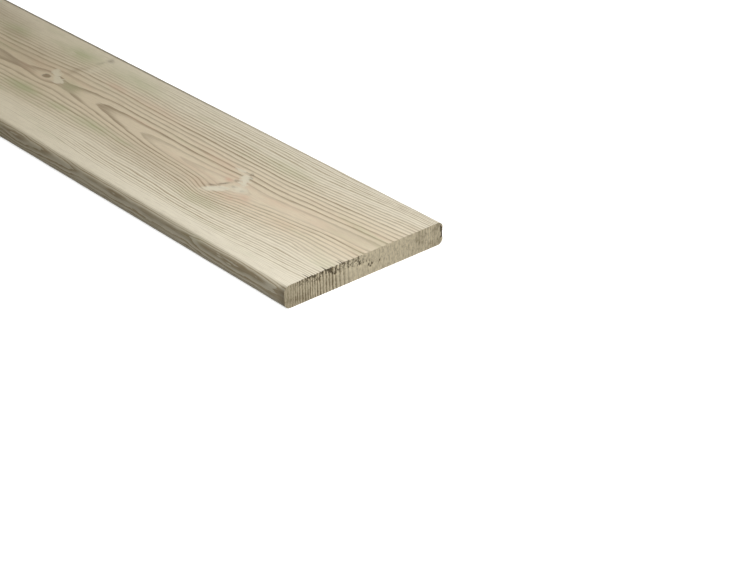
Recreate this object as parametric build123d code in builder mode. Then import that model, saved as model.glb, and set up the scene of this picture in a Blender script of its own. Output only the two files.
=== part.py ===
"""Planed softwood plank: one length of board stock, planed on all four sides.

The plank lies on its back face. The origin is the centre of that face, +X runs
along the grain, +Y across the width and +Z up through the thickness.
"""

import os

from build123d import *

# Driving dimensions, in millimetres
length = 1800.0  # along the grain, between the two cross-cut ends
width = 145.0  # between the two planed edges
thickness = 18.0  # between the back face and the show face
arris_radius = 5.0  # rounding planed along the four long arrises

os.makedirs("parts", exist_ok=True)

# The plank is one piece: the planed section runs its whole length, and the two
# cross-cut ends are square and keep the sharp edge that the saw leaves.
with BuildPart() as plank:
    with BuildSketch(Plane.YZ.offset(-length / 2)):
        Rectangle(width, thickness, align=(Align.CENTER, Align.MIN))
    extrude(amount=length)
    long_arrises = plank.edges().filter_by(Axis.X)
    fillet(long_arrises, radius=arris_radius)

plank.part.label = "plank"
export_step(plank.part, "parts/plank.step")
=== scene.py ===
"""Planed softwood plank: grain, knots, sawn ends and the stage it is shown on.

The wood is one field in three dimensions. Growth rings lie round a pith that wanders along
the plank, and branches grow out of the pith. The same formulas run on arrays, for the relief
of the mesh, and on node sockets, for the colour, so faces, edges and ends agree.
Lengths inside the wood are in millimetres; everything that Blender sees is in metres.
"""

import math
from typing import NamedTuple

import bpy
import numpy as np
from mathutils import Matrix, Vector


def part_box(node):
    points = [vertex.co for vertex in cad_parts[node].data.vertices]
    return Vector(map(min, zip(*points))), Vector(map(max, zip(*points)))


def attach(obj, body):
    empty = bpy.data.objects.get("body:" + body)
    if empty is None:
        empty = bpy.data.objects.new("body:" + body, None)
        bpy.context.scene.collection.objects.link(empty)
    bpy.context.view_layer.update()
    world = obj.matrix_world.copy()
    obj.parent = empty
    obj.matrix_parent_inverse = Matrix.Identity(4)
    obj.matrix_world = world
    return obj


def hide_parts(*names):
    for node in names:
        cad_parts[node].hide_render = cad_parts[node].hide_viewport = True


bl_info = {
    "name": "Planed Softwood Plank",
    "version": (1, 0, 0),
    "blender": (4, 5, 0),
    "location": "View3D > Sidebar > Plank",
    "description": "Builds a planed softwood plank with true grain, and a plain studio stage",
    "category": "Add Mesh",
}

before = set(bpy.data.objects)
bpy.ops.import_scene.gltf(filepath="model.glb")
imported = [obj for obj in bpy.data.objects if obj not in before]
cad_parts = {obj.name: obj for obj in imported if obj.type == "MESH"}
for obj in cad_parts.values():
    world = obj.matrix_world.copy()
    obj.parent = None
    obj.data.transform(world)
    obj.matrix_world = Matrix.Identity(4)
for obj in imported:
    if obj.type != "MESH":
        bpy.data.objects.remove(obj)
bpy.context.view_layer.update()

MM = 1000.0
LOW, HIGH = (np.array(corner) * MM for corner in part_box("plank"))
LENGTH, WIDTH, THICKNESS = HIGH - LOW
NEAR_END = HIGH[0]

# How the wood runs along the plank, by distance from the near end: how far across the plank the
# pith lies, how many millimetres of ring growth cover it at the show face, how tightly the rings
# lie between it and the near edge, how far they are pushed outwards, at the near end and beside the
# whorls of branches, and how much the wood is greyed and darkened. That darkening is partly greying
# from handling and partly painted shade for light that falls off towards the far end.
PITH_ACROSS = (
    (0, 8.4), (20, 6.8), (45, 4.4), (70, 1.2), (95, -2.2), (115, -4.8), (135, -6), (160, -6.5),
    (185, -6.4), (215, -5.5), (265, -2), (330, 3), (370, 3.5), (430, 0), (520, -4), (700, 3), (880, 8),
    (1060, 2), (1250, -6), (1450, 0), (1640, 7), (1800, 3),
)
PITH_COVER = (
    (0, 5.6), (20, 5.4), (45, 5.6), (70, 5.6), (95, 5.4), (112, 5), (126, 3.4), (138, 1.7), (165, 2),
    (210, 4.3), (265, 8.4), (332, 12.3), (370, 15.3), (430, 15.7), (520, 13.5), (640, 16), (760, 12.2),
    (900, 17.5), (1060, 14), (1220, 19), (1400, 13), (1560, 9), (1700, 13), (1800, 16),
)
NEAR_PINCH = (
    (0, 1), (20, 1.02), (45, 1.08), (70, 1.08), (95, 1.1), (115, 1.1), (150, 1.12), (190, 1.17),
    (220, 1.15), (250, 1.06), (280, 1.04), (310, 0.98), (340, 0.94), (365, 0.93), (425, 1), (500, 1.04),
    (700, 1.1), (1000, 1.05), (1300, 1.12), (1600, 1.06), (1800, 1.1),
)
SWELL = (
    (0, 1.5), (20, 1.2), (50, 0.5), (80, 0.6), (100, 0.9), (125, 1.3), (140, 1.5), (200, 1.5), (240, 0.8),
    (285, 0), (330, 0), (392, 1.2), (450, 0), (600, 0), (660, 2), (720, 0), (880, 0), (935, 2), (990, 0),
    (1160, 0), (1215, 1.8), (1270, 0), (1440, 0), (1497, 2.2), (1550, 0), (1800, 0),
)
# Greying and painted shade: the wood is greyer and darker towards the far end, partly from handling, partly
# as painted shade for light that falls off.
GREYING_AND_FALLOFF_SHADE = (
    (0, 0), (60, 0.05), (150, 0.2), (240, 0.4), (330, 0.68), (430, 1), (560, 0.85), (700, 0.6), (900, 0.4),
    (1100, 0.3), (1300, 0.35), (1600, 0.2), (1800, 0.25),
)
COURSE = {"pith_across": PITH_ACROSS, "pith_cover": PITH_COVER, "near_pinch": NEAR_PINCH, "swell": SWELL}

# Ring growth: rings are widest at the pith and narrow outwards.
FIRST_RING = 4.4
RING_NARROWING = 0.045
LEAST_GROWTH = 0.05

# Growth for each millimetre up to the show face and across to the far edge. Towards the near edge
# NEAR_PINCH gives it, then EDGE_PINCH, and the rings open a little on the way.
UP_SCALE = 0.62
FAR_SCALE = 0.82
SIDE_BLEND = 4.0
EDGE_PINCH = 1.1
EDGE_PINCH_REACH = (62.0, 34.0)
NEAR_OPENING = 0.1
NEAR_OPENING_REACH = (20.0, 60.0)
SWELL_REACH = (8.0, 26.0)

# Rings near the pith follow its wandering, and those further across run straighter.
STRAIGHTENING = 175.0
STRAIGHT_REACH = (80.0, 50.0)

# Close to the two edges the rings rise faster, and bow round a line below the show face. The bow
# dies away towards the two ends.
EDGE_SPAN = 15.0
EDGE_RISE = 3.0
EDGE_BOW = 0.027
EDGE_CROWN = 14.0
END_SPAN = 35.0

# Wide and narrow rings take turns: share of a ring, length in growth, phase.
UNEVEN_SLOW = (0.14, 6.1, 0.7)
UNEVEN_QUICK = (0.08, 2.7)
UNEVEN_REACH = (14.0, 30.0)

# Slow waves in the grain: height, length along the plank, length across it, phase.
WANDER = ((0.6, 310, 95, 0.4), (0.3, 137, -60, 2.1), (0.15, 61, 31, 4.4), (0.1, 34, -19, 1.2))


class Branch(NamedTuple):
    """A branch inside the wood, as a cone that starts at the pith."""

    station: float  # distance of its root from the near end
    turn: float  # direction round the pith, in degrees; 0 points across to the far edge, 90 up
    lean: float  # degrees that it leans towards the far end of the plank
    girth: float  # full radius
    tone: float  # 0 is a pale sound knot, 1 is a dark one
    push: float  # how far it pushes the rings outwards
    span: float = 200.0  # its length; the wood has grown over a short one


ROOT_SHARE = 0.45  # radius of a branch at its root, as a share of its full radius
FILL_OUT = 30.0  # it grows by its full radius over this length
KNOT_RING_RATE = 5.2  # how closely a knot's own rings lie

BRANCHES = (
    Branch(130, 8, 49, 4.2, 0.0, 0.4, 30.0),
    Branch(131, 172, 50, 4.4, 0.0, 4.5, 34.0),
    Branch(378, 91, 45, 3.2, 0.7, 2.4),
    Branch(386, 22, 8, 2.8, 0.0, 1.2),
    Branch(388, 200, 30, 4.0, 0.4, 4.0),
    Branch(655, 110, 30, 5.5, 0.7, 5.0),
    Branch(652, 170, 22, 5.0, 0.5, 4.0),
    Branch(650, 285, 30, 5.0, 0.6, 4.0),
    Branch(925, 60, 28, 5.0, 0.9, 4.5),
    Branch(930, 250, 28, 6.0, 0.8, 5.0),
    Branch(928, 12, 20, 4.5, 0.4, 3.0),
    Branch(1205, 98, 35, 5.0, 0.5, 4.0),
    Branch(1210, 187, 18, 5.0, 0.6, 4.0),
    Branch(1208, 300, 30, 5.5, 0.7, 4.0),
    Branch(1490, 125, 32, 6.0, 0.9, 5.0),
    Branch(1488, 35, 25, 4.5, 0.5, 3.0),
    Branch(1492, 255, 28, 6.0, 0.9, 5.0),
)


class Spot(NamedTuple):
    """A soft spot on the show face, where the colour or the strength of the lines changes."""

    station: float  # distance of its middle from the near end
    across: float  # place across the plank
    length: float  # half its length
    width: float  # half its width
    slant: float  # degrees that it turns towards the far edge on its way to the far end
    strength: float


GREEN_SPOTS = (
    Spot(398, -24, 22, 7, 0, 0.85), Spot(345, -24, 16, 5, 0, 0.5), Spot(298, -24, 24, 6, 0, 0.6),
    Spot(372, 5, 13, 6, 15, 0.5), Spot(135, 42, 26, 8, 0, 0.3), Spot(420, 50, 24, 9, 0, 0.75),
    Spot(505, 40, 22, 8, 0, 0.6), Spot(142, -38, 22, 6, 0, 0.35), Spot(345, 52, 36, 9, 0, 0.5),
)
BLUSH_SPOTS = (
    Spot(151.5, -1, 5, 3, 20, 0.85), Spot(121, -12, 9, 3.5, 0, 0.55), Spot(130, -19, 6, 4, 0, 0.5),
    Spot(70, -17, 14, 5, -8, 0.3), Spot(345, 33, 16, 4, 0, 0.4), Spot(290, 32, 40, 7, 0, 0.25),
)
PALE_SPOTS = (
    Spot(143.5, 6.5, 11, 3.2, 45, 1.0), Spot(147, -17, 11.5, 3.9, -48, 1.0), Spot(134, -6, 9, 6, -10, 0.6),
    Spot(158, 15, 9, 2.2, 0, 0.5), Spot(399.5, 10.5, 12, 3.4, 34, 1.0), Spot(388, 4, 6, 4.5, 0, 0.9),
    Spot(387, 40, 6, 15, 0, 0.4), Spot(372, 56, 26, 7, 10, 0.34), Spot(352, 50, 18, 5, 8, 0.3),
    Spot(483, 51, 10, 7, 25, 0.4), Spot(430, 45, 8, 6, 25, 0.36),
)
DARK_SPOTS = (
    Spot(147, 16, 2.8, 1.3, 35, 0.5), Spot(144, 12, 2.4, 1.3, 45, 0.4), Spot(147, 1.5, 2.4, 1.7, 30, 0.5),
    Spot(150, -8.5, 5, 1.5, -68, 0.65), Spot(154, -16, 4, 1.5, -35, 0.55), Spot(141, -6, 2.8, 1.6, 0, 0.3),
    Spot(131, -6, 2, 2, 0, 0.2), Spot(393, 60, 4, 3, 30, 0.45), Spot(395, 51, 2.2, 4, 0, 0.25),
)
BROWN_SPOTS = (
    Spot(397, 27, 6, 10, 0, 0.4), Spot(585, 47, 95, 18, 0, 0.5), Spot(500, 33, 28, 9, 0, 0.4),
    Spot(460, 22, 50, 26, 0, 0.17), Spot(24, 10, 34, 5, -7, 0.2), Spot(215, -25, 70, 15, 0, 0.22),
    Spot(135, -33, 15, 7, 0, 0.2), Spot(390, -30, 40, 9, 0, 0.12), Spot(1120, -42, 130, 13, 0, 0.3),
    Spot(1590, 38, 120, 15, 0, 0.3),
)
BOLD_SPOTS = (Spot(195, 34, 90, 13, 0, 0.5), Spot(175, -44, 70, 14, 0, 0.6))
SMOOTH_SPOTS = (
    Spot(10, -24, 22, 30, 0, 0.38), Spot(440, 65, 150, 21, 0, 1.4), Spot(400, -56, 90, 20, 0, 1.0),
    Spot(117, -9, 17, 8, 0, 0.75), Spot(72, 0, 50, 8, -7.5, 0.62), Spot(240, 66, 70, 9, 0, 0.5),
)


class Field:
    """A number that varies over the wood, held as a node socket. Arithmetic on it adds nodes."""

    __array_ufunc__ = None

    def __init__(self, socket):
        self.socket = socket

    def __add__(self, other):
        return compute("ADD", self, other)

    def __sub__(self, other):
        return compute("SUBTRACT", self, other)

    def __rsub__(self, other):
        return compute("SUBTRACT", other, self)

    def __mul__(self, other):
        return compute("MULTIPLY", self, other)

    def __truediv__(self, other):
        return compute("DIVIDE", self, other)

    __radd__ = __add__
    __rmul__ = __mul__


def wire(tree, value, socket):
    """Link a field or socket to a node's socket, or set the number there."""
    if isinstance(value, Field):
        value = value.socket
    if isinstance(value, bpy.types.NodeSocket):
        tree.links.new(value, socket)
    else:
        socket.default_value = value


def put(tree, kind, inputs=None, **settings):
    """Add a node with its settings and inputs."""
    node = tree.nodes.new(kind)
    for name, value in settings.items():
        setattr(node, name, value)
    for key, value in (inputs or {}).items():
        wire(tree, value, node.inputs[key])
    return node


def plain(value):
    """A field as it is, and any number as a float."""
    return value if isinstance(value, Field) else float(value)


def compute(operation, *values):
    """A Math node on fields and numbers."""
    tree = next(value.socket.id_data for value in values if isinstance(value, Field))
    node = put(tree, "ShaderNodeMath", dict(enumerate(map(plain, values))), operation=operation)
    return Field(node.outputs[0])


def either(operation, on_arrays):
    """A function that adds a Math node for fields and uses numpy for arrays."""

    def run(*values):
        if any(isinstance(value, Field) for value in values):
            return compute(operation, *values)
        return on_arrays(*values)

    return run


sine = either("SINE", np.sin)
root = either("SQRT", np.sqrt)
whole = either("FLOOR", np.floor)
exponential = either("EXPONENT", np.exp)
larger = either("MAXIMUM", np.maximum)
smaller = either("MINIMUM", np.minimum)
size_of = either("ABSOLUTE", np.abs)
logarithm = either("LOGARITHM", lambda value, base: np.log(value) / np.log(base))


def fade(value, low, high):
    """Goes smoothly from 0 at low to 1 at high."""
    if not isinstance(value, Field):
        share = np.clip((value - low) / (high - low), 0.0, 1.0)
        return share * share * (3.0 - 2.0 * share)
    inputs = {"Value": value, "From Min": low, "From Max": high}
    node = put(value.socket.id_data, "ShaderNodeMapRange", inputs, interpolation_type="SMOOTHSTEP")
    return Field(node.outputs["Result"])


def hump(value, spread):
    """A bell curve, 1 at 0."""
    share = value / spread
    return exponential(share * share * -1.0)


def along_path(points, stations):
    """A smooth curve through the points, read at the stations."""
    places, values = np.array(points, float).T
    slopes = np.gradient(values, places)
    left = np.clip(np.searchsorted(places, stations) - 1, 0, len(places) - 2)
    span = places[left + 1] - places[left]
    share = (stations - places[left]) / span
    rest = 1.0 - share
    start = (1.0 + 2.0 * share) * rest**2 * values[left] + share * rest**2 * span * slopes[left]
    end = share**2 * (3.0 - 2.0 * share) * values[left + 1] - share**2 * rest * span * slopes[left + 1]
    return start + end


def branch_axis(branch):
    """The root and the direction of a branch."""
    station = np.array([branch.station], float)
    across = along_path(PITH_ACROSS, station)[0]
    height = THICKNESS - along_path(PITH_COVER, station)[0] / UP_SCALE
    lean, turn = math.radians(branch.lean), math.radians(branch.turn)
    direction = (-math.sin(lean), math.cos(lean) * math.cos(turn), math.cos(lean) * math.sin(turn))
    return (NEAR_END - branch.station, across, height), direction


def branch_shape(x, y, z, root_x, root_y, root_z, way_x, way_y, way_z, girth, span, rough):
    """How strongly a branch moves the rings, its knot, the dark rim round it, and the way to its axis."""
    dx, dy, dz = x - root_x, y - root_y, z - root_z
    reach = dx * way_x + dy * way_y + dz * way_z
    off_axis = root(larger(dx * dx + dy * dy + dz * dz - reach * reach, 1e-4))
    radius = girth * smaller(ROOT_SHARE + larger(reach, 0.0) / FILL_OUT, 1.0)
    ratio = off_axis / radius + rough
    started = fade(reach, -1.5, 2.5) * fade(reach, span, span - 6.0)
    push = hump(off_axis, 2.6 * girth + 4.0)
    push = push * fade(reach, -6.0, 10.0) * fade(reach, span + 14.0, span - 6.0)
    knot = started * fade(ratio, 1.3, 0.7)
    crotch = fade((reach * way_x - dx) / off_axis, -0.1, 0.7)
    rim = started * hump(ratio - 1.0, 0.17) * (0.15 + 0.85 * crotch)
    return push, knot, rim, off_axis


def ring_count(x, y, z, course, push):
    """Distance from the pith in ring growth, and the number of rings passed on the way."""
    pith_across, pith_cover, near_pinch, swell = course
    wander = 0.0
    for height, along, across, phase in WANDER:
        wander = wander + height * sine(x * (math.tau / along) + y * (math.tau / across) + phase)
    held = (1.0 - size_of(y) / STRAIGHTENING) * fade(size_of(y), *STRAIGHT_REACH)
    offset = y + wander - pith_across * held
    out = size_of(offset)
    pinch = EDGE_PINCH + (near_pinch - EDGE_PINCH) * fade(out, *EDGE_PINCH_REACH)
    near = out * pinch * (1.0 - NEAR_OPENING * fade(out, *NEAR_OPENING_REACH))
    far = out * FAR_SCALE
    sideways = far + (near - far) * fade(offset, SIDE_BLEND, -SIDE_BLEND)
    depth = pith_cover - UP_SCALE * (THICKNESS - z)
    from_crown = z - EDGE_CROWN
    bow = from_crown * from_crown * EDGE_BOW * fade(size_of(x), NEAR_END, NEAR_END - END_SPAN)
    rise = (EDGE_RISE - bow) * fade(size_of(y), WIDTH / 2 - EDGE_SPAN, WIDTH / 2)
    growth = root(sideways * sideways + depth * depth) + rise - push - swell * fade(out, *SWELL_REACH)
    growth = larger(growth, LEAST_GROWTH)
    rings = logarithm(1.0 - growth * (RING_NARROWING / FIRST_RING), math.e) * (-1.0 / RING_NARROWING)
    slow, slow_length, slow_phase = UNEVEN_SLOW
    quick, quick_length = UNEVEN_QUICK
    uneven = slow * sine(growth / slow_length + slow_phase) + quick * sine(growth / quick_length)
    return growth, rings + uneven * fade(growth, *UNEVEN_REACH)


def late_wood(rings, growth):
    """The dark, dense part of each ring: it builds up outwards and stops sharply."""
    share = rings - whole(rings)
    start = 0.42 - 0.24 * fade(growth, 16.0, 40.0)
    return fade(share, start, 0.88) * fade(share, 1.0, 0.9)


def spots(x, y, places):
    """The strongest of some soft spots at each place."""
    strongest = 0.0
    for spot in places:
        along, across = NEAR_END - spot.station - x, y - spot.across
        cos, sin = math.cos(math.radians(spot.slant)), math.sin(math.radians(spot.slant))
        length = (along * cos + across * sin) / spot.length
        width = (across * cos - along * sin) / spot.width
        strongest = larger(spot.strength * exponential((length * length + width * width) * -1.0), strongest)
    return strongest


def srgb(red, green, blue):
    """A colour given as it looks on screen, 0 to 255, as linear light."""
    shares = [value / 255 for value in (red, green, blue)]
    return tuple(((s + 0.055) / 1.055) ** 2.4 if s > 0.04045 else s / 12.92 for s in shares)


def colour_property(name, description, default):
    """A colour that a user would change."""
    return bpy.props.FloatVectorProperty(
        name=name, description=description, default=default, subtype="COLOR", size=3, min=0.0, max=1.0
    )


class PlankFinish(bpy.types.PropertyGroup):
    """Sizes and colours of the plank's surface."""

    arris_radius: bpy.props.FloatProperty(
        name="Arris radius", description="Rounding of the four long arrises", default=0.005, unit="LENGTH"
    )
    grain_relief: bpy.props.FloatProperty(
        name="Grain relief", description="How far late wood stands proud of early wood", default=0.00012,
        unit="LENGTH",
    )
    saw_relief: bpy.props.FloatProperty(
        name="Saw relief", description="Depth of the torn pits in the sawn ends", default=0.0013,
        unit="LENGTH",
    )
    sap_early: colour_property("Sapwood", "Pale early wood near the edges", srgb(234, 226, 205))
    sap_late: colour_property("Sapwood lines", "Late wood near the edges", srgb(172, 156, 126))
    heart_early: colour_property("Heartwood", "Early wood round the pith", srgb(222, 208, 182))
    heart_late: colour_property("Heartwood lines", "Late wood round the pith", srgb(148, 130, 100))
    knot_pale: colour_property("Sound knot", "Pale wood of a sound knot", srgb(214, 206, 183))
    knot_dark: colour_property("Dark knot", "Brown heart of a dark knot", srgb(132, 107, 72))
    bark: colour_property("Knot rim", "Dark rim of bark and resin round a knot", srgb(92, 80, 60))
    blush: colour_property("Blush", "Pink tinge of resinous wood", srgb(212, 178, 152))
    green: colour_property("Treatment", "Green tinge that the preservative leaves", srgb(171, 180, 134))
    pale: colour_property("Pale grain", "Pale grain that the planer tore up", srgb(226, 218, 196))
    # Grey that darkens the wood along the plank: partly greying, partly painted shade for light falling off.
    grey_and_shade: colour_property("Greying", "Shade of wood that has been handled", srgb(227, 223, 213))
    # Darkens the two edges: partly duller, weathered wood, partly painted shade.
    edge_tone_and_shade: colour_property("Edges", "Shade of the two edges", srgb(208, 206, 199))
    # Darkens the far upper arris as painted shade, and the edges close to each end.
    arris_shade_and_dark_ends: colour_property("Grime", "Dirt in the far arris and at the ends of edges", srgb(150, 145, 134))
    end_early: colour_property("End grain", "Early wood of the sawn ends", srgb(226, 213, 182))
    end_late: colour_property("End grain lines", "Late wood of the sawn ends", srgb(122, 109, 83))
    pit: colour_property("Torn fibre", "Dark pits torn by the saw", srgb(74, 64, 45))


class StageLook(bpy.types.PropertyGroup):
    """Light and floor of the stage."""

    key_power: bpy.props.FloatProperty(
        name="Key light", description="Power of the soft key light", default=10.9, subtype="POWER"
    )
    fill_level: bpy.props.FloatProperty(
        name="Fill light", description="Strength of the weak light from behind", default=0.6
    )
    sky_level: bpy.props.FloatProperty(
        name="Sky", description="Level of the even light from all round", default=0.33, subtype="FACTOR"
    )
    floor_white: colour_property("Floor", "Floor as the camera sees it", (0.8, 0.8, 0.8))
    floor_bounce: colour_property("Floor bounce", "Floor as it lights the plank", (0.2, 0.2, 0.2))
    focal_length: bpy.props.FloatProperty(
        name="Focal length", description="Focal length of the camera in millimetres", default=95.4
    )


# Material of the wood


def branch_group():
    """A node group that holds one branch, so that each branch is one node in the material."""
    tree = bpy.data.node_groups.new("branch", "ShaderNodeTree")
    names = ["x", "y", "z", "root_x", "root_y", "root_z", "way_x", "way_y", "way_z"]
    names += ["girth", "span", "rough"]
    for name in names:
        tree.interface.new_socket(name, in_out="INPUT", socket_type="NodeSocketFloat")
    for name in ("push", "knot", "rim", "off_axis"):
        tree.interface.new_socket(name, in_out="OUTPUT", socket_type="NodeSocketFloat")
    inlet = put(tree, "NodeGroupInput")
    shapes = branch_shape(*(Field(inlet.outputs[name]) for name in names))
    put(tree, "NodeGroupOutput", dict(enumerate(shapes)))
    return tree


def tint(tree, factor, first, second, mode="MIX"):
    """A colour between two others."""
    node = put(tree, "ShaderNodeMix", data_type="RGBA", blend_type=mode)
    wire(tree, factor, node.inputs[0])
    for value, socket in ((first, node.inputs[6]), (second, node.inputs[7])):
        wire(tree, value if isinstance(value, bpy.types.NodeSocket) else (*value, 1.0), socket)
    return node.outputs[2]


class Wood:
    """The fields that the colours of the wood share: place, rings, knots and fibre."""

    def __init__(self, tree):
        self.tree = tree
        place = put(tree, "ShaderNodeTexCoord").outputs["Object"]
        self.grid = put(tree, "ShaderNodeVectorMath", {0: place, "Scale": MM}, operation="SCALE").outputs[0]
        self.x, self.y, self.z = map(Field, put(tree, "ShaderNodeSeparateXYZ", {0: self.grid}).outputs)
        self.mottle = self.noise((5.0, 2.2, 2.2), seed=8) - 0.5
        self.fibre = self.noise((22.0, 0.9, 0.9), seed=4, detail=3.0)
        self.streak = self.noise((34.0, 1.5, 1.5), seed=14)
        self.grit = self.noise((5.0, 1.6, 1.6), seed=15)
        self.crumb = self.noise((1.5, 1.5, 1.5), seed=11)
        self.edge = fade(size_of(self.y), WIDTH / 2 - 3.8, WIDTH / 2 - 0.6)
        self.show = fade(self.z, THICKNESS - 5.0, THICKNESS - 1.5)
        self.sawn = self.attribute("sawn_end")
        self.torn = self.attribute("torn")
        # Greying along the plank, with painted shade for light falling off towards the far end.
        self.greying_and_falloff_shade = self.attribute("greying_and_falloff_shade")
        push = self.grow_branches()
        hair = self.noise((16.0, 2.4, 2.4), seed=1, detail=4.0) - 0.5
        course = [self.attribute(name) for name in COURSE]
        self.growth, self.rings = ring_count(self.x, self.y, self.z, course, push + hair * 1.1)
        self.late = late_wood(self.rings, self.growth)
        self.heart = fade(self.growth + self.noise((160.0, 22.0, 22.0), seed=2) * 20.0, 60.0, 22.0)

    def noise(self, lengths, seed, detail=2.0):
        """Even noise from 0 to 1, stretched to these lengths along, across and through the plank."""
        scaled = put(self.tree, "ShaderNodeVectorMath", {0: self.grid, 1: lengths}, operation="DIVIDE")
        inputs = {"Vector": scaled.outputs[0], "W": float(seed), "Scale": 1.0, "Detail": detail}
        node = put(self.tree, "ShaderNodeTexNoise", inputs, noise_dimensions="4D")
        return Field(node.outputs["Fac"])

    def attribute(self, name):
        """A number stored on the mesh."""
        return Field(put(self.tree, "ShaderNodeAttribute", attribute_name=name).outputs["Fac"])

    def grow_branches(self):
        """Add all branches: their knots and rims, and how far they push the rings outwards."""
        push, self.knot, self.brown, self.rim, self.knot_rings = 0.0, 0.0, 0.0, 0.0, 0.0
        group = branch_group()
        rough = self.mottle * 0.5
        for branch in BRANCHES:
            origin, direction = branch_axis(branch)
            node = put(self.tree, "ShaderNodeGroup", node_tree=group)
            inputs = (self.x, self.y, self.z, *origin, *direction, branch.girth, branch.span, rough)
            for key, value in enumerate(inputs):
                wire(self.tree, value, node.inputs[key])
            one_push, knot, rim, off_axis = map(Field, node.outputs)
            clear = min(0.2 + 1.2 * branch.tone, 1.0)
            own_rings = 0.5 + 0.5 * sine(off_axis * KNOT_RING_RATE)
            push = one_push * branch.push + push
            self.knot = larger(knot * clear, self.knot)
            self.rim = larger(rim * clear, self.rim)
            self.brown = larger(knot * branch.tone, self.brown)
            self.knot_rings = larger(knot * own_rings, self.knot_rings)
        return push

    def scaled(self, colour, factor):
        """A colour made lighter or darker."""
        inputs = {0: colour, "Scale": factor}
        return put(self.tree, "ShaderNodeVectorMath", inputs, operation="SCALE").outputs[0]

    def line_strength(self):
        """How dark the late wood is: it differs from ring to ring, and fades in smooth grain."""
        ring_hash = put(self.tree, "ShaderNodeTexWhiteNoise", {"W": whole(self.rings)}, noise_dimensions="1D")
        strength = 0.35 + 0.65 * Field(ring_hash.outputs["Value"])
        strength = strength * (0.55 + 0.8 * self.noise((200.0, 20.0, 20.0), seed=3))
        strength = larger(strength, self.heart * 0.7) * (0.4 + 0.6 * fade(self.growth, 2.0, 12.0))
        bold = spots(self.x, self.y, BOLD_SPOTS) * self.show
        strength = strength * (1.0 + 0.25 * fade(self.y, 34.0, 52.0) + bold)
        strength = strength * (0.35 + 1.3 * self.noise((45.0, 1.8, 1.8), seed=12))
        smooth = larger(spots(self.x, self.y, SMOOTH_SPOTS) * self.show, 0.6 * fade(self.y, -54.0, -63.0))
        return larger(strength * (1.0 - 0.93 * smooth), self.edge * (0.2 + 1.5 * self.streak))


def planed_colour(wood, finish):
    """Rings and fibre of the planed faces."""
    tree = wood.tree
    early = tint(tree, wood.heart, finish.sap_early, finish.heart_early)
    late = tint(tree, wood.heart, finish.sap_late, finish.heart_late)
    colour = tint(tree, wood.late * wood.line_strength(), early, late)
    colour = tint(tree, fade(wood.fibre, 0.5, 0.85) * 0.4, colour, finish.heart_late)
    return wood.scaled(colour, 0.86 + 0.14 * wood.streak + 0.16 * wood.grit)


def marked_colour(wood, finish, colour):
    """Resin, preservative, knots and torn grain, on top of the rings."""
    tree, x, y = wood.tree, wood.x, wood.y
    near_x = x + (wood.noise((22.0, 7.0, 7.0), seed=9) - 0.5) * 16.0
    near_y = y + (wood.noise((14.0, 4.0, 4.0), seed=10) - 0.5) * 8.0
    blush = fade(wood.noise((70.0, 12.0, 12.0), seed=5), 0.52, 0.78) * wood.heart * 0.35
    blush = larger(blush, spots(near_x, near_y, BLUSH_SPOTS) * wood.show)
    colour = tint(tree, blush, colour, finish.blush)
    green = fade(wood.noise((95.0, 15.0, 15.0), seed=6), 0.54, 0.8) * 0.5
    green = larger(green, spots(near_x, near_y, GREEN_SPOTS) * wood.show)
    colour = tint(tree, green * (0.3 + wood.streak), colour, finish.green)
    brown = spots(near_x, near_y, BROWN_SPOTS) * wood.show
    colour = tint(tree, brown, colour, finish.heart_late)

    grain = wood.knot_rings * 0.25 + fade(wood.mottle, 0.0, 0.4) * 0.3
    knot_colour = tint(tree, grain, finish.knot_pale, finish.heart_late)
    knot_colour = tint(tree, fade(wood.brown, 0.1, 1.0), knot_colour, finish.knot_dark)
    colour = tint(tree, wood.knot, colour, knot_colour)
    pale = spots(x + wood.mottle * 9.0, y + wood.mottle * 7.0, PALE_SPOTS) * wood.show
    pale = fade(pale + (wood.grit - 0.5) * 0.5, 0.12, 0.6) * (0.7 + 0.5 * wood.streak)
    colour = tint(tree, pale, colour, finish.pale)
    rim_break = fade(wood.noise((5.0, 3.0, 3.0), seed=7), 0.35, 0.6)
    marks = spots(x + wood.mottle * 6.0, y + wood.mottle * 6.0, DARK_SPOTS) * wood.show
    dark_knot = tint(tree, wood.knot * fade(wood.brown, 0.7, 1.0), finish.bark, finish.knot_dark)
    return tint(tree, larger(wood.rim * rim_break * 0.85, marks), colour, dark_knot)


def worn_and_shaded_colour(wood, finish, colour):
    """Greying with painted shade along the plank, edges darker as duller wood and painted shade, painted
    shade in the far upper arris, and darker edge ends.
    """
    tree = wood.tree
    # Greyer and darker along the plank: partly greying, partly painted shade.
    colour = tint(tree, wood.greying_and_falloff_shade, colour, finish.grey_and_shade, mode="MULTIPLY")
    # The two edges darker: partly duller, weathered wood, partly painted shade.
    edge_darkening = 0.45 + 0.9 * wood.noise((46.0, 2.2, 1.5), seed=17, detail=4.0)
    colour = tint(tree, wood.edge * edge_darkening, colour, finish.edge_tone_and_shade, mode="MULTIPLY")
    # Painted shade: a dark line along the far upper arris, where the rounding turns from the light.
    far_arris_shade = fade(wood.y, WIDTH / 2 - 6.2, WIDTH / 2 - 4.6)
    far_arris_shade = far_arris_shade * fade(wood.z, THICKNESS - 5.0, THICKNESS - 2.4)
    far_arris_shade = far_arris_shade * (0.12 + 0.88 * fade(wood.greying_and_falloff_shade, 0.1, 0.8))
    # The edges are darker for the last few millimetres before each end.
    dark_edge_ends = wood.edge * fade(size_of(wood.x), NEAR_END - 8.0, NEAR_END - 1.5) * 0.5
    return tint(tree, larger(far_arris_shade, dark_edge_ends), colour, finish.arris_shade_and_dark_ends, mode="MULTIPLY")


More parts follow.
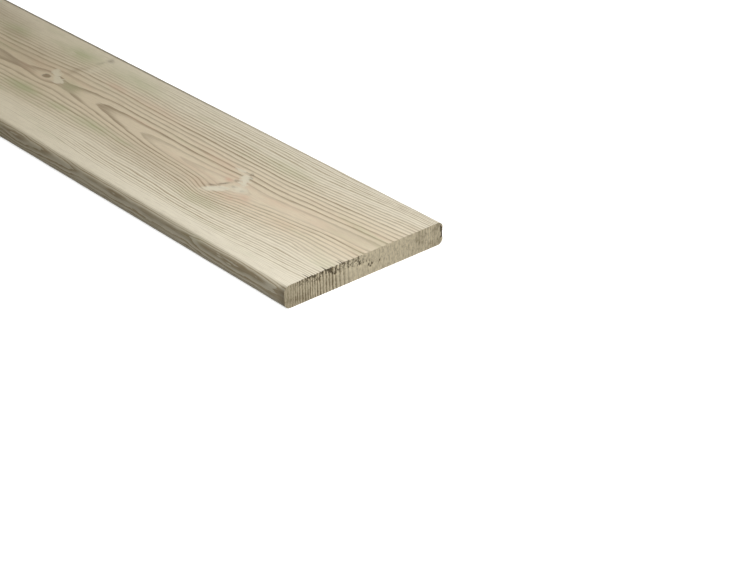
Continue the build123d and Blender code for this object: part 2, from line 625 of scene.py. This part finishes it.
def sawn_colour(wood, finish):
    """Sawn end grain: ring lines, crumbled fibre and the dark teeth torn below the show face."""
    tree, y, z = wood.tree, wood.y, wood.z
    blotch = wood.noise((9.0, 9.0, 9.0), seed=13)
    near_half = fade(y, 12.0, -16.0)
    clear = near_half * fade(wood.growth, 16.0, 34.0) + 0.2 * fade(y, 40.0, 58.0)
    lines = wood.late * (0.16 + 0.92 * clear) * (0.15 + 1.3 * blotch)
    outer = fade(y, -44.0, -60.0)
    stained = fade(blotch, 0.5, 0.75) * fade(z, 12.0, 4.0) * near_half
    lines = lines * (1.0 - 0.35 * outer) + outer * 0.2 + stained * 0.4
    rough = fade(wood.noise((3.0, 1.3, 3.2), seed=18, detail=3.0), 0.4, 0.72)
    lines = lines + fade(wood.crumb, 0.48, 0.8) * 0.3 + rough * (0.45 - 0.2 * near_half)
    lines = lines + fade(blotch, 0.42, 0.7) * fade(y, 25.0, 55.0) * 0.35
    colour = tint(tree, lines, finish.end_early, finish.end_late)
    band = fade(z, THICKNESS - 7.0, THICKNESS - 1.5) * fade(y, -68.0, -58.0) * fade(y, 4.0, -8.0)
    teeth = fade(wood.late, 0.45, 0.95) * band * fade(wood.noise((4.0, 2.4, 7.0), seed=16), 0.4, 0.56)
    torn_band = fade(z, THICKNESS - 8.0, THICKNESS - 3.0) * fade(y, -66.0, -54.0) * fade(y, 6.0, -8.0)
    teeth = larger(teeth, fade(wood.crumb, 0.52, 0.6) * torn_band * 0.8)
    pits = larger(teeth * 0.9, fade(wood.torn + (wood.crumb - 0.5) * 0.4, 0.36, 0.58) * 0.9)
    return tint(tree, pits, colour, finish.pit)


def softwood_material(finish):
    """Planed softwood: rings, knots, fibre, preservative tinge and sawn end grain."""
    material = bpy.data.materials.new("planed_softwood")
    material.use_nodes = True
    tree = material.node_tree
    tree.nodes.clear()
    wood = Wood(tree)
    planed = planed_colour(wood, finish)
    planed = marked_colour(wood, finish, planed)
    planed = worn_and_shaded_colour(wood, finish, planed)
    chips = fade(wood.torn, 0.4, 0.6) * (1.0 - wood.sawn)
    planed = tint(tree, chips, planed, finish.pit)
    colour = tint(tree, wood.sawn, planed, sawn_colour(wood, finish))

    height = wood.fibre * 0.08 + wood.grit * 0.06
    bump = put(tree, "ShaderNodeBump", {"Height": height, "Strength": 1.0, "Distance": 1.0 / MM})
    shader = put(tree, "ShaderNodeBsdfPrincipled", {"Specular IOR Level": 0.3})
    wire(tree, colour, shader.inputs["Base Color"])
    wire(tree, 0.74 - 0.12 * wood.late + 0.1 * wood.sawn, shader.inputs["Roughness"])
    wire(tree, bump.outputs[0], shader.inputs["Normal"])
    put(tree, "ShaderNodeOutputMaterial", {"Surface": shader.outputs[0]})
    return material


# Mesh of the plank

# Faces across the plank, in the quarter round of an arris, and up the flat of an edge
COLUMNS = 180
ARC_STEPS = 6
EDGE_STEPS = 8

# Steps along the plank: in plain wood, beside a whorl of branches, and at the two ends
BASE_STEP = 15.0
KNOT_STEP = 5.0
END_STEP = 1.5
KNOT_SPAN = 36.0

SKIN = 0.02  # how far the highest wood lies under the full size
SHARP_ANGLE = 50.0  # in degrees; faces that meet more sharply aren't shaded as one

# Torn pits of a sawn end: those in the band below the show face, and those on the far rounding
BAND_PITS = 98
ROUNDING_PITS = 12

# Where the flat layout of the faces holds the sides and the two ends, and the margin round it
MAP_SIDES = 0.8
MAP_ENDS = ((0.815, 0.9), (0.91, 0.995))
MAP_MARGIN = 0.004


def section_grid(arris):
    """The end's grid of points: rows from the back face up, columns from one edge to the other."""
    arc = arris * (1.0 - np.cos(np.linspace(0.0, math.pi / 2, ARC_STEPS + 1)))
    flat = np.linspace(arris, THICKNESS - arris, EDGE_STEPS + 1)[1:-1]
    heights = np.concatenate((arc, flat, THICKNESS - arc[::-1]))
    inside = np.clip(arris - np.minimum(heights, THICKNESS - heights), 0.0, None)
    half = WIDTH / 2 - arris + np.sqrt(arris**2 - inside**2)
    across = half[:, None] * np.linspace(-1.0, 1.0, COLUMNS + 1)[None, :]
    return across, np.repeat(heights[:, None], COLUMNS + 1, axis=1)


def rim_order(rows):
    """Grid places round the section, once round from the lower front corner."""
    last, right = rows - 1, COLUMNS
    bottom = [(0, column) for column in range(right)]
    far_edge = [(row, right) for row in range(last)]
    top = [(last, column) for column in range(right, 0, -1)]
    near_edge = [(row, 0) for row in range(last, 0, -1)]
    return np.array(bottom + far_edge + top + near_edge)


def mesh_stations():
    """Places along the plank, closer together where branches are."""
    places = {*np.linspace(0.0, LENGTH, int(LENGTH / BASE_STEP) + 1), END_STEP, LENGTH - END_STEP}
    for whorl in {round(branch.station, -1) for branch in BRANCHES}:
        places.update(np.arange(whorl - KNOT_SPAN / 2, whorl + KNOT_SPAN, KNOT_STEP))
    ordered = np.array(sorted(place for place in places if 0.0 <= place <= LENGTH))
    gaps = np.diff(ordered)
    keep = np.concatenate(([True], gaps > KNOT_STEP / 3))
    keep[-1] = True
    return ordered[keep][::-1]


def outward(points):
    """Unit vectors that point out of a closed section, one for each of its points."""
    step = np.roll(points, -1, axis=0) - np.roll(points, 1, axis=0)
    step /= np.linalg.norm(step, axis=1, keepdims=True)
    return np.stack((step[:, 1], -step[:, 0]), axis=1)


def side_relief(x, y, z, course, relief):
    """How far the planed surface lies under its full size: early wood is lower than late wood."""
    push, sink = 0.0, 0.0
    for branch in BRANCHES:
        origin, direction = branch_axis(branch)
        one_push, _, rim, _ = branch_shape(x, y, z, *origin, *direction, branch.girth, branch.span, 0.0)
        push = push + one_push * branch.push
        sink = np.maximum(sink, rim)
    growth, rings = ring_count(x, y, z, course, push)
    return SKIN + relief * (1.0 - late_wood(rings, growth)) + 2.0 * relief * sink


def torn_pits(across, height, seed):
    """Pits that the saw tore out of an end: most lie in a band below the show face."""
    draw = np.random.default_rng(seed)
    depth = np.zeros_like(across)
    for number in range(BAND_PITS + ROUNDING_PITS):
        spot = draw.triangular(-64.0, -34.0, 16.0)
        level = THICKNESS - 0.4 - 6.0 * draw.random() ** 2.0 - max(0.0, spot + 18.0) * 0.32
        if number >= BAND_PITS:
            spot, level = draw.uniform(70.6, 72.6), draw.uniform(4.0, 14.0)
        size = draw.uniform(0.45, 0.9) if number < BAND_PITS else draw.uniform(0.8, 1.4)
        slant = (across - spot + 0.25 * (height - level)) / size
        drop = (height - level) / (size * draw.uniform(1.3, 2.6))
        depth = np.maximum(depth, draw.uniform(0.45, 1.0) * np.exp(-(slant**2) - drop**2))
    return depth


def build_plank_mesh(finish):
    """The plank as one closed mesh, with its grain, its knots and its two sawn ends."""
    arris = finish.arris_radius * MM
    relief = finish.grain_relief * MM
    across_grid, height_grid = section_grid(arris)
    rows = len(height_grid)
    order = rim_order(rows)
    rim = np.stack((across_grid[order[:, 0], order[:, 1]], height_grid[order[:, 0], order[:, 1]]), axis=1)
    out = outward(rim)
    stations = mesh_stations()
    count, around = len(stations), len(rim)

    x = np.repeat(NEAR_END - stations, around)
    y, z = np.tile(rim[:, 0], count), np.tile(rim[:, 1], count)
    course = [np.repeat(along_path(path, stations), around) for path in COURSE.values()]
    sink = side_relief(x, y, z, course, relief)
    y = y - sink * np.tile(out[:, 0], count)
    z = z - sink * np.tile(out[:, 1], count)
    points = [np.stack((x, y, z), axis=1)]
    torn = [np.zeros(len(x))]

    index = np.arange(count * around).reshape(count, around)
    ahead = np.roll(index, -1, axis=1)
    sides = np.stack((index[:-1], ahead[:-1], ahead[1:], index[1:]), axis=-1).reshape(-1, 4)
    faces = [sides]

    inner_rows, inner_columns = np.meshgrid(range(1, rows - 1), range(1, COLUMNS), indexing="ij")
    inner = (inner_rows.ravel(), inner_columns.ravel())
    border = (order[:, 0], order[:, 1])
    total = len(x)
    for end, (station, facing) in enumerate(((0, -1.0), (count - 1, 1.0))):
        grid = np.zeros((rows, COLUMNS + 1), int)
        grid[border] = index[station]
        grid[inner] = total + np.arange(len(inner[0]))
        total += len(inner[0])
        pits = torn_pits(across_grid * facing, height_grid, end + 1)
        sunk = NEAR_END - stations[station] - facing * (SKIN + pits * finish.saw_relief * MM)
        points[0][index[station], 0] = sunk[border]
        torn[0][index[station]] = pits[border]
        points.append(np.stack((sunk[inner], across_grid[inner], height_grid[inner]), axis=1))
        torn.append(pits[inner])
        corners = (grid[:-1, :-1], grid[:-1, 1:], grid[1:, 1:], grid[1:, :-1])
        quads = np.stack(corners if facing > 0 else corners[::-1], axis=-1)
        faces.append(quads.reshape(-1, 4))

    points, torn = np.concatenate(points), np.concatenate(torn)
    mesh = bpy.data.meshes.new("plank_wood")
    mesh.from_pydata((points / MM).tolist(), [], np.concatenate(faces).tolist())
    mesh.update()
    for name, path in {**COURSE, "greying_and_falloff_shade": GREYING_AND_FALLOFF_SHADE}.items():
        store(mesh, name, "POINT", along_path(path, NEAR_END - points[:, 0]))
    store(mesh, "torn", "POINT", torn)
    sawn = np.zeros(len(mesh.polygons))
    sawn[len(sides):] = 1.0
    store(mesh, "sawn_end", "FACE", sawn)
    mesh.polygons.foreach_set("use_smooth", np.ones(len(mesh.polygons), bool))
    mesh.set_sharp_from_angle(angle=math.radians(SHARP_ANGLE))
    map_faces(mesh, points, rim, len(sides), count, around)
    return mesh


def store(mesh, name, domain, values):
    """Keep one number for each point or face on the mesh."""
    mesh.attributes.new(name, "FLOAT", domain).data.foreach_set("value", values.astype(np.float32))


def map_faces(mesh, points, rim, side_faces, count, around):
    """Lay the faces out flat: the sides unrolled along the plank, and the two ends enlarged."""
    loops = np.zeros(len(mesh.loops), int)
    mesh.loops.foreach_get("vertex_index", loops)
    flat = np.zeros((len(loops), 2))
    steps = np.linalg.norm(np.roll(rim, -1, axis=0) - rim, axis=1)
    turn = np.concatenate(([0.0], np.cumsum(steps))) / steps.sum() * MAP_SIDES
    side = np.tile(np.arange(around), count - 1)
    corner = np.stack((side, side + 1, side + 1, side), axis=1).ravel()
    side_loops = side_faces * 4
    flat[:side_loops, 0] = (points[loops[:side_loops], 0] - LOW[0]) / LENGTH
    flat[:side_loops, 1] = turn[corner]
    half = (len(loops) - side_loops) // 2
    for number, (low, high) in enumerate(MAP_ENDS):
        part = slice(side_loops + number * half, side_loops + (number + 1) * half)
        corners = points[loops[part]]
        flat[part, 0] = (corners[:, 1] - LOW[1]) / WIDTH
        flat[part, 1] = low + (high - low) * (corners[:, 2] - LOW[2]) / THICKNESS
    flat = MAP_MARGIN + (1.0 - 2.0 * MAP_MARGIN) * flat
    mesh.uv_layers.new(name="OFBake").data.foreach_set("uv", flat.ravel())


class PLANK_OT_dress(bpy.types.Operator):
    """Build the plank's visible mesh and its wood, in place of the plain solid"""

    bl_idname = "plank.dress"
    bl_label = "Dress Plank"

    def execute(self, context):
        finish = context.scene.plank_finish
        plank = bpy.data.objects.new("softwood_plank", build_plank_mesh(finish))
        context.scene.collection.objects.link(plank)
        plank.data.materials.append(softwood_material(finish))
        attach(plank, "root")
        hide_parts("plank")
        return {"FINISHED"}


# Stage: places in metres, angles in degrees, the camera's sensor in millimetres

CAMERA_PLACE = (1.8075, -0.7877, 0.6718)
CAMERA_TURN = 48.75
CAMERA_DOWN = 29.37
SENSOR_WIDTH = 36.0
FLOOR_HALF = 6.0
KEY_WAY = (0.72, -0.4, 0.95)
LAMP_DISTANCE = 1.2
KEY_SIZE = 0.9
FILL_WAY = (-0.6, 0.55, 0.6)
FILL_SOFTNESS = 50.0
FLOOR_GLOW = 0.7


def seen_directly(tree):
    """1 for rays that show a surface to the camera, also through gloss or glass."""
    rays = put(tree, "ShaderNodeLightPath").outputs
    camera, glossy, through = (
        Field(rays[name]) for name in ("Is Camera Ray", "Is Glossy Ray", "Is Transmission Ray")
    )
    return larger(larger(camera, glossy), through)


def floor_material(look):
    """White to the eye, with the plank's shadow, and a quieter bounce of light on to the plank."""
    material = bpy.data.materials.new("pale_floor")
    material.use_nodes = True
    tree = material.node_tree
    tree.nodes.clear()
    shown = put(tree, "ShaderNodeBsdfDiffuse", {"Color": (*look.floor_white, 1.0)})
    glow = put(tree, "ShaderNodeEmission", {"Color": (1.0, 1.0, 1.0, 1.0), "Strength": FLOOR_GLOW})
    white = put(tree, "ShaderNodeAddShader", {0: shown.outputs[0], 1: glow.outputs[0]})
    bounce = put(tree, "ShaderNodeBsdfDiffuse", {"Color": (*look.floor_bounce, 1.0)})
    choice = put(
        tree, "ShaderNodeMixShader", {0: seen_directly(tree), 1: bounce.outputs[0], 2: white.outputs[0]}
    )
    put(tree, "ShaderNodeOutputMaterial", {"Surface": choice.outputs[0]})
    return material


def sky_world(look):
    """Even light from all round, and a white backdrop."""
    world = bpy.data.worlds.new("studio_sky")
    world.use_nodes = True
    tree = world.node_tree
    tree.nodes.clear()
    seen = seen_directly(tree)
    level = seen + (1.0 - seen) * look.sky_level
    light = put(tree, "ShaderNodeBackground", {"Color": (1.0, 1.0, 1.0, 1.0), "Strength": level})
    put(tree, "ShaderNodeOutputWorld", {"Surface": light.outputs[0]})
    return world


def hang_lamp(scene, light, way):
    """Put a lamp in this direction from the near end, and turn it to the plank."""
    lamp = bpy.data.objects.new(light.name, light)
    way = np.array(way) / np.linalg.norm(way)
    lamp.location = np.array((NEAR_END / MM, 0.0, 0.0)) + way * LAMP_DISTANCE
    lamp.rotation_euler = (math.acos(way[2]), 0.0, math.atan2(way[1], way[0]) + math.pi / 2)
    scene.collection.objects.link(lamp)


class PLANK_OT_stage(bpy.types.Operator):
    """Set the floor, the light and the camera"""

    bl_idname = "plank.stage"
    bl_label = "Set Stage"

    def execute(self, context):
        look = context.scene.plank_stage
        scene = context.scene
        scene.view_settings.view_transform = "Standard"
        scene.world = sky_world(look)

        signs = ((-1, -1), (1, -1), (1, 1), (-1, 1))
        corners = [(FLOOR_HALF * x, FLOOR_HALF * y, 0.0) for x, y in signs]
        mesh = bpy.data.meshes.new("floor")
        mesh.from_pydata(corners, [], [(0, 1, 2, 3)])
        mesh.materials.append(floor_material(look))
        floor = bpy.data.objects.new("floor", mesh)
        scene.collection.objects.link(floor)

        key = bpy.data.lights.new("key", "AREA")
        key.energy, key.shape, key.size = look.key_power, "DISK", KEY_SIZE
        hang_lamp(scene, key, KEY_WAY)
        fill = bpy.data.lights.new("fill", "SUN")
        fill.energy, fill.angle = look.fill_level, math.radians(FILL_SOFTNESS)
        hang_lamp(scene, fill, FILL_WAY)

        view = bpy.data.cameras.new("view")
        view.lens, view.sensor_width = look.focal_length, SENSOR_WIDTH
        camera = bpy.data.objects.new("view", view)
        camera.location = CAMERA_PLACE
        camera.rotation_euler = (math.radians(90.0 - CAMERA_DOWN), 0.0, math.radians(CAMERA_TURN))
        scene.collection.objects.link(camera)
        scene.camera = camera
        return {"FINISHED"}


class PLANK_PT_panel(bpy.types.Panel):
    """The plank's sizes and colours, and the buttons that build it"""

    bl_label = "Softwood Plank"
    bl_idname = "PLANK_PT_panel"
    bl_space_type = "VIEW_3D"
    bl_region_type = "UI"
    bl_category = "Plank"

    def draw(self, context):
        for settings in (context.scene.plank_finish, context.scene.plank_stage):
            for name in settings.__annotations__:
                self.layout.prop(settings, name)
        for operator in (PLANK_OT_dress, PLANK_OT_stage):
            self.layout.operator(operator.bl_idname)


CLASSES = (PlankFinish, StageLook, PLANK_OT_dress, PLANK_OT_stage, PLANK_PT_panel)


def register():
    """Register the classes and the settings on the scene."""
    for one in CLASSES:
        bpy.utils.register_class(one)
    bpy.types.Scene.plank_finish = bpy.props.PointerProperty(type=PlankFinish)
    bpy.types.Scene.plank_stage = bpy.props.PointerProperty(type=StageLook)


def unregister():
    """Take the settings and the classes away again."""
    del bpy.types.Scene.plank_stage
    del bpy.types.Scene.plank_finish
    for one in reversed(CLASSES):
        bpy.utils.unregister_class(one)


def main():
    """Build everything in order."""
    register()
    bpy.ops.plank.dress()
    bpy.ops.plank.stage()


if __name__ == "__main__":
    main()
